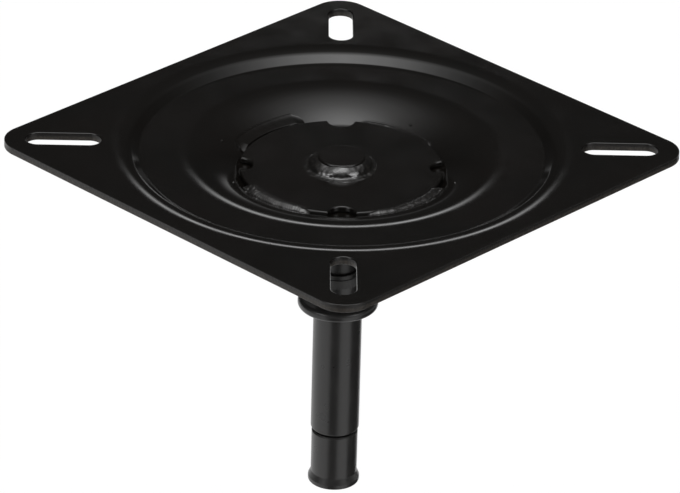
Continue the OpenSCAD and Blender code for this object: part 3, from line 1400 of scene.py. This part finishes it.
def lathed(name: str, corners: Sequence[Corner], material: bpy.types.Material, body: Body,
           slot: Slot, node: str, closed: bool = False, segments: int = 160,
           degrees_per_step: float = 10.0) -> bpy.types.Object:
    """Builds a turned piece from a profile with rounded corners.

    Args:
        name: The piece's name.
        corners: Each corner as radius, height and rounding.
        material: Its finish.
        body: The body that it rides on.
        slot: Its material slot.
        node: The solid that it stands for.
        closed: True for a ring, whose profile runs back to its start.
        segments: The pieces in a full turn.
        degrees_per_step: The largest turn in one piece of a rounding.

    Returns:
        The finished piece.
    """
    profile = rounded_profile(corners, degrees_per_step, closed)
    skin = Skin()
    if closed:
        skin.join(skin.revolve(profile, segments), stack=True)
    else:
        rim = Line2D(profile.points[1:-1], profile.normals[1:-1])
        rows = skin.revolve(rim, segments)
        skin.join(rows)
        skin.cap_ends(rows)
    return placed(skin.built(name, [material]), body, slot, node)


@dataclass
class Bushings:
    """The two moulded bushings that stay in the pedestal while the seat turns."""

    finishes: Finishes
    bore_r: float = 6.4
    snap_r: float = 5.95
    snaps: tuple[float, float] = (-108.2, -130.7)
    snap_half: float = 0.95
    snap_lead: float = 0.4
    collar_top: float = -52.2
    collar_top_r: float = 7.1
    collar_r: float = 7.9
    collar_taper: float = 3.0
    cove: float = 1.5
    flange_top: float = -62.0
    flange_under: float = -65.6
    flange_r: float = 14.75
    flange_round: float = 1.6
    flange_lower_round: float = 1.4
    sleeve_r: float = 8.9
    sleeve_end: float = -116.2
    sleeve_round: float = 0.6
    end_top: float = -117.3
    end_under: float = -138.7
    end_r: float = 8.53
    end_bevel: float = 0.5
    lip_r: float = 9.5
    lip_h: float = 4.0
    lip_band: float = 1.2
    lip_round: float = 0.6

    def bore(self, top: float, bottom: float, snap: float) -> list[Corner]:
        """Makes the bore's corners from the bottom up, with one snap ridge.

        Args:
            top: The height of the bore's upper end.
            bottom: The height of its lower end.
            snap: The height of the ridge's middle.

        Returns:
            Each corner as radius, height and rounding.
        """
        low, high = snap - self.snap_half, snap + self.snap_half
        return [
            (self.bore_r, bottom, 0.15),
            (self.bore_r, low - self.snap_lead, 0.1),
            (self.snap_r, low, 0.1),
            (self.snap_r, high, 0.1),
            (self.bore_r, high + self.snap_lead, 0.1),
            (self.bore_r, top, 0.15),
        ]

    def flanged(self) -> bpy.types.Object:
        """Builds the flanged bushing: collar, flange and sleeve.

        Returns:
            The finished piece.
        """
        corners = [
            (self.collar_top_r, self.collar_top, 0.15),
            (self.collar_r, self.collar_top - self.collar_taper, 0.5),
            (self.collar_r, self.flange_top, self.cove),
            (self.flange_r, self.flange_top, self.flange_round),
            (self.flange_r, self.flange_under, self.flange_lower_round),
            (self.sleeve_r, self.flange_under, 0.15),
            (self.sleeve_r, self.sleeve_end, self.sleeve_round),
            *self.bore(self.collar_top, self.sleeve_end, self.snaps[0]),
        ]
        return lathed("flanged_nylon_bushing", corners, self.finishes.nylon, Body.BUSHINGS,
                      Slot.MOULDED_BUSHING, "flanged_bushing", closed=True)

    def end(self) -> bpy.types.Object:
        """Builds the end bushing with its lip.

        Returns:
            The finished piece.
        """
        corners = [
            (self.end_r - self.end_bevel, self.end_top, 0.1),
            (self.end_r, self.end_top - self.end_bevel, 0.15),
            (self.end_r, self.end_under + self.lip_h, 0.8),
            (self.lip_r, self.end_under + self.lip_round + self.lip_band, 0.35),
            (self.lip_r, self.end_under, self.lip_round),
            *self.bore(self.end_top, self.end_under, self.snaps[1]),
        ]
        return lathed("end_nylon_bushing", corners, self.finishes.nylon, Body.BUSHINGS,
                      Slot.MOULDED_BUSHING, "end_bushing", closed=True)

    def build(self) -> None:
        """Builds both bushings."""
        self.flanged()
        self.end()


# The studio


@dataclass(frozen=True)
class Glow:
    """A soft pale patch of the surroundings, which the object reflects.

    Angles are in degrees. The azimuth counts from straight ahead of the camera to the right.
    """

    azimuth: float
    height: float
    half_width: float
    half_height: float
    light: float

    def matrix(self) -> Matrix:
        """Works out the patch's axes.

        Returns:
            The directions to its right, up it and back to the object, one in each column.
        """
        azimuth, height = math.radians(self.azimuth), math.radians(self.height)
        level = math.cos(height)
        right = Vector((math.cos(azimuth), -math.sin(azimuth), 0.0))
        away = Vector((math.sin(azimuth) * level, math.cos(azimuth) * level, math.sin(height)))
        return Matrix((right, away.cross(right) * -1.0, away * -1.0)).transposed()


@dataclass(frozen=True)
class Flag:
    """A dark cloth that lies on the floor, and which only reflections see.

    Angles are in degrees, and the azimuth counts as a glow's does. Distances are in metres.
    """

    name: str
    azimuth: float
    spread: float
    near: float = 0.2
    far: float = 3.0
    lift: float = 0.004
    steps: int = 12
    colour: Colour = (0.03, 0.03, 0.03)
    roughness: float = 0.9

    def build(self, floor_z: float) -> None:
        """Lays the cloth.

        Args:
            floor_z: The floor's height.
        """
        points, faces = [], []
        height = floor_z + self.lift
        for i in range(self.steps + 1):
            angle = math.radians(self.azimuth - 90 + self.spread * (i / self.steps - 0.5))
            for reach in (self.near, self.far):
                points.append((reach * math.cos(angle), reach * math.sin(angle), height))
        for i in range(self.steps):
            faces.append((2 * i, 2 * i + 1, 2 * i + 3, 2 * i + 2))
        paint = Paint(self.name)
        paint.surface(Base_Color=self.colour, Roughness=self.roughness, Specular_IOR_Level=0.0)
        cloth = flat_object(self.name, points, faces, paint.material)
        cloth.visible_camera = False
        cloth.visible_shadow = False
        cloth.visible_diffuse = False


def flat_object(name: str, points: list[Corner], faces: list[tuple[int, ...]],
                material: bpy.types.Material) -> bpy.types.Object:
    """Makes a flat part of the studio.

    Args:
        name: Its name.
        points: Its points in metres.
        faces: Its faces, as places in the list of points.
        material: Its material.

    Returns:
        The new object, linked to the scene.
    """
    mesh = bpy.data.meshes.new(name)
    mesh.from_pydata(points, [], faces)
    mesh.materials.append(material)
    made = bpy.data.objects.new(name, mesh)
    bpy.context.scene.collection.objects.link(made)
    return made


@dataclass
class Studio:
    """A white sweep, a soft overhead light that fades into a dark room, and dark flags.

    The room's light goes by the height over the horizon, and the overhead light by the angle
    from its middle, both in degrees. A glow's shape goes by shares of its half width and height.
    """

    floor_z: float = -0.46
    floor_half: float = 40.0
    room: tuple[Place, ...] = ((-90.0, 1.0), (0.5, 1.0), (2.0, 0.15), (5.0, 0.03), (90.0, 0.03))
    overhead: tuple[Place, ...] = (
        (0.0, 3.60), (4.0, 3.30), (8.0, 3.00), (12.0, 2.66), (18.0, 2.06), (22.0, 1.61),
        (26.0, 1.20), (30.0, 0.88), (34.0, 0.62), (38.0, 0.45), (42.0, 0.29), (46.0, 0.20),
        (50.0, 0.135), (54.0, 0.085), (60.0, 0.045), (68.0, 0.02), (80.0, 0.0))
    overhead_lean: float = math.radians(9.4)
    glow_shape: tuple[Place, ...] = (
        (0.0, 1.0), (0.5, 0.84), (1.0, 0.5), (1.5, 0.17), (2.0, 0.03), (2.5, 0.0))
    glow_depth: float = 0.15
    glows: tuple[Glow, ...] = (
        Glow(1.1, 21.2, 1.6, 1.5, 3.0),
        Glow(9.0, 3.0, 3.0, 4.0, 0.4),
        Glow(-3.0, 64.0, 15.0, 11.0, 0.28),
        Glow(-130.0, 30.0, 12.0, 10.0, 4.0),
        Glow(130.0, 30.0, 12.0, 10.0, 4.0),
    )
    flags: tuple[Flag, ...] = (Flag("front_flag", -9.0, 44.0), Flag("right_flag", 104.0, 74.0))
    backdrop_share: float = 0.87
    seen_grey: float = 0.16
    lit_grey: float = 0.8

    @staticmethod
    def added(tree: bpy.types.NodeTree, kind: str, operation: str,
              *values: object) -> bpy.types.Node:
        """Adds a calculating node.

        Args:
            tree: The world's nodes.
            kind: The node's type.
            operation: What it does.
            *values: Its inputs in order, each a number, a vector or a socket.

        Returns:
            The new node.
        """
        made = tree.nodes.new(kind)
        made.operation = operation
        for socket, value in zip(made.inputs, values):
            if isinstance(value, bpy.types.NodeSocket):
                tree.links.new(value, socket)
            else:
                socket.default_value = value
        return made

    @staticmethod
    def graded(tree: bpy.types.NodeTree, value: bpy.types.NodeSocket,
               levels: Sequence[Place]) -> bpy.types.NodeSocket:
        """Makes a light that depends on a value.

        Args:
            tree: The world's nodes.
            value: The value, such as an angle in degrees.
            levels: Value and light, from the smallest value to the largest.

        Returns:
            The light as a shader.
        """
        start, end = levels[0][0], levels[-1][0]
        share = tree.nodes.new("ShaderNodeMapRange")
        share.inputs["From Min"].default_value = start
        share.inputs["From Max"].default_value = end
        tree.links.new(value, share.inputs["Value"])
        ramp = tree.nodes.new("ShaderNodeValToRGB")
        ramp.color_ramp.interpolation = "EASE"
        stops = ramp.color_ramp.elements
        while len(stops) < len(levels):
            stops.new(0.5)
        peak = max(level for _, level in levels)
        for stop, (place, level) in zip(stops, levels):
            stop.position = (place - start) / (end - start)
            stop.color = (*([level / peak] * 3), 1.0)
        tree.links.new(share.outputs["Result"], ramp.inputs["Fac"])
        light = tree.nodes.new("ShaderNodeBackground")
        light.inputs["Strength"].default_value = peak
        tree.links.new(ramp.outputs["Color"], light.inputs["Color"])
        return light.outputs["Background"]

    def world(self) -> None:
        """Makes the surroundings: white to the camera, and graded for light and reflections."""
        world = bpy.data.worlds.new("studio")
        bpy.context.scene.world = world
        world.use_nodes = True
        tree = world.node_tree
        tree.nodes.clear()
        add, link = tree.nodes.new, tree.links.new
        direction = add("ShaderNodeTexCoord").outputs["Generated"]
        split = add("ShaderNodeSeparateXYZ")
        link(direction, split.inputs["Vector"])

        def measured(kind: str, operation: str, *values: object) -> bpy.types.NodeSocket:
            """Returns the value of a new calculating node."""
            return self.added(tree, kind, operation, *values).outputs["Value"]

        def degrees(operation: str, value: bpy.types.NodeSocket) -> bpy.types.NodeSocket:
            """Returns the angle in degrees whose sine or cosine is a value."""
            angle = measured("ShaderNodeMath", operation, value)
            return measured("ShaderNodeMath", "DEGREES", angle)

        lean = (0.0, -math.sin(self.overhead_lean), math.cos(self.overhead_lean))
        toward = measured("ShaderNodeVectorMath", "DOT_PRODUCT", direction, lean)
        lights = [
            self.graded(tree, degrees("ARCSINE", split.outputs["Z"]), self.room),
            self.graded(tree, degrees("ARCCOSINE", toward), self.overhead),
        ]
        for glow in self.glows:
            axes = glow.matrix()
            patch = add("ShaderNodeMapping")
            patch.vector_type = "TEXTURE"
            patch.inputs["Location"].default_value = -axes.col[2]
            patch.inputs["Rotation"].default_value = axes.to_euler("XYZ")
            half = (math.radians(glow.half_width), math.radians(glow.half_height), self.glow_depth)
            patch.inputs["Scale"].default_value = half
            link(direction, patch.inputs["Vector"])
            reach = measured("ShaderNodeVectorMath", "LENGTH", patch.outputs["Vector"])
            shape = [(place, glow.light * level) for place, level in self.glow_shape]
            lights.append(self.graded(tree, reach, shape))
        total = lights[0]
        for light in lights[1:]:
            both = add("ShaderNodeAddShader")
            link(total, both.inputs[0])
            link(light, both.inputs[1])
            total = both.outputs["Shader"]
        sweep = add("ShaderNodeBackground")
        sweep.inputs["Color"].default_value = (1, 1, 1, 1)
        mix = add("ShaderNodeMixShader")
        link(add("ShaderNodeLightPath").outputs["Is Camera Ray"], mix.inputs["Fac"])
        link(total, mix.inputs[1])
        link(sweep.outputs["Background"], mix.inputs[2])
        link(mix.outputs["Shader"], add("ShaderNodeOutputWorld").inputs["Surface"])

    def floor_material(self) -> bpy.types.Material:
        """Makes the floor's material.

        To the camera and in reflections it is white and keeps the object's shadow. To other
        rays it is plain pale grey, and from below it is clear.

        Returns:
            The new material.
        """
        paint = Paint("studio_floor")
        paint.tree.nodes.remove(paint.shader)
        pale = paint.node("ShaderNodeBsdfDiffuse")
        pale.inputs["Color"].default_value = (*([self.seen_grey] * 3), 1)
        plain = paint.node("ShaderNodeBsdfDiffuse")
        plain.inputs["Color"].default_value = (*([self.lit_grey] * 3), 1)
        glow = paint.node("ShaderNodeEmission")
        glow.inputs["Strength"].default_value = self.backdrop_share
        both = paint.node("ShaderNodeAddShader")
        paint.link(pale.outputs["BSDF"], both.inputs[0])
        paint.link(glow.outputs["Emission"], both.inputs[1])
        path = paint.node("ShaderNodeLightPath")
        seen = path.outputs["Is Camera Ray"]
        for kind in ("Is Glossy Ray", "Is Transmission Ray"):
            either = paint.node("ShaderNodeMath", operation="MAXIMUM")
            paint.link(seen, either.inputs[0])
            paint.link(path.outputs[kind], either.inputs[1])
            seen = either.outputs["Value"]
        mix = paint.node("ShaderNodeMixShader")
        paint.link(seen, mix.inputs["Fac"])
        paint.link(plain.outputs["BSDF"], mix.inputs[1])
        paint.link(both.outputs["Shader"], mix.inputs[2])
        clear = paint.node("ShaderNodeBsdfTransparent")
        side = paint.node("ShaderNodeMixShader")
        paint.link(paint.node("ShaderNodeNewGeometry").outputs["Backfacing"], side.inputs["Fac"])
        paint.link(mix.outputs["Shader"], side.inputs[1])
        paint.link(clear.outputs["BSDF"], side.inputs[2])
        paint.link(side.outputs["Shader"], paint.tree.nodes["Material Output"].inputs["Surface"])
        return paint.material

    def floor(self) -> None:
        """Lays the floor under the object."""
        half, z = self.floor_half, self.floor_z
        corners = [(-half, -half, z), (half, -half, z), (half, half, z), (-half, half, z)]
        floor = flat_object("studio_floor", corners, [(0, 1, 2, 3)], self.floor_material())

    def build(self) -> None:
        """Builds the world, the floor and the flags."""
        self.world()
        self.floor()
        for flag in self.flags:
            flag.build(self.floor_z)


@dataclass
class PhotoCamera:
    """The camera of the photograph, as fitted to the plate's outline and the pin.

    The distance and the target are in metres.
    """

    frame_width_px: float = 680.0
    focal_px: float = 5130.0
    sensor_mm: float = 36.0
    distance: float = 1.8597
    elevation: float = math.radians(27.85)
    yaw: float = math.radians(0.97)
    roll: float = math.radians(1.51)
    target: tuple[float, float, float] = (0.0002, 0.0, -0.04166)

    def build(self) -> None:
        """Makes the camera and sets it as the scene's."""
        data = bpy.data.cameras.new("photo_camera")
        data.sensor_width = self.sensor_mm
        data.lens = self.focal_px * self.sensor_mm / self.frame_width_px
        data.dof.use_dof = False
        camera = bpy.data.objects.new("photo_camera", data)
        level, rise = math.cos(self.elevation), math.sin(self.elevation)
        back = Vector((-math.sin(self.yaw) * level, -math.cos(self.yaw) * level, rise))
        facing = (-back).to_track_quat("-Z", "Y") @ Quaternion((0, 0, 1), self.roll)
        place = Matrix.Translation(Vector(self.target) + back * self.distance)
        camera.matrix_world = place @ facing.to_matrix().to_4x4()
        bpy.context.scene.collection.objects.link(camera)
        bpy.context.scene.camera = camera


def main() -> None:
    """Builds the mount, the studio and the camera."""
    logging.basicConfig(level=logging.INFO, format="%(name)s %(message)s")
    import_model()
    scene = bpy.context.scene
    scene.view_settings.view_transform = "Standard"
    PhotoCamera().build()
    finishes = Finishes.made()
    dish = Dish()
    plate = MountingPlate(finishes, dish)
    plate.build()
    disc = HubDisc(finishes, dish)
    disc.build()
    HubWelds(finishes, dish, disc).build()
    Pin(finishes, plate, disc).build()
    Bushings(finishes).build()
    Studio().build()


if __name__ == "__main__":
    main()
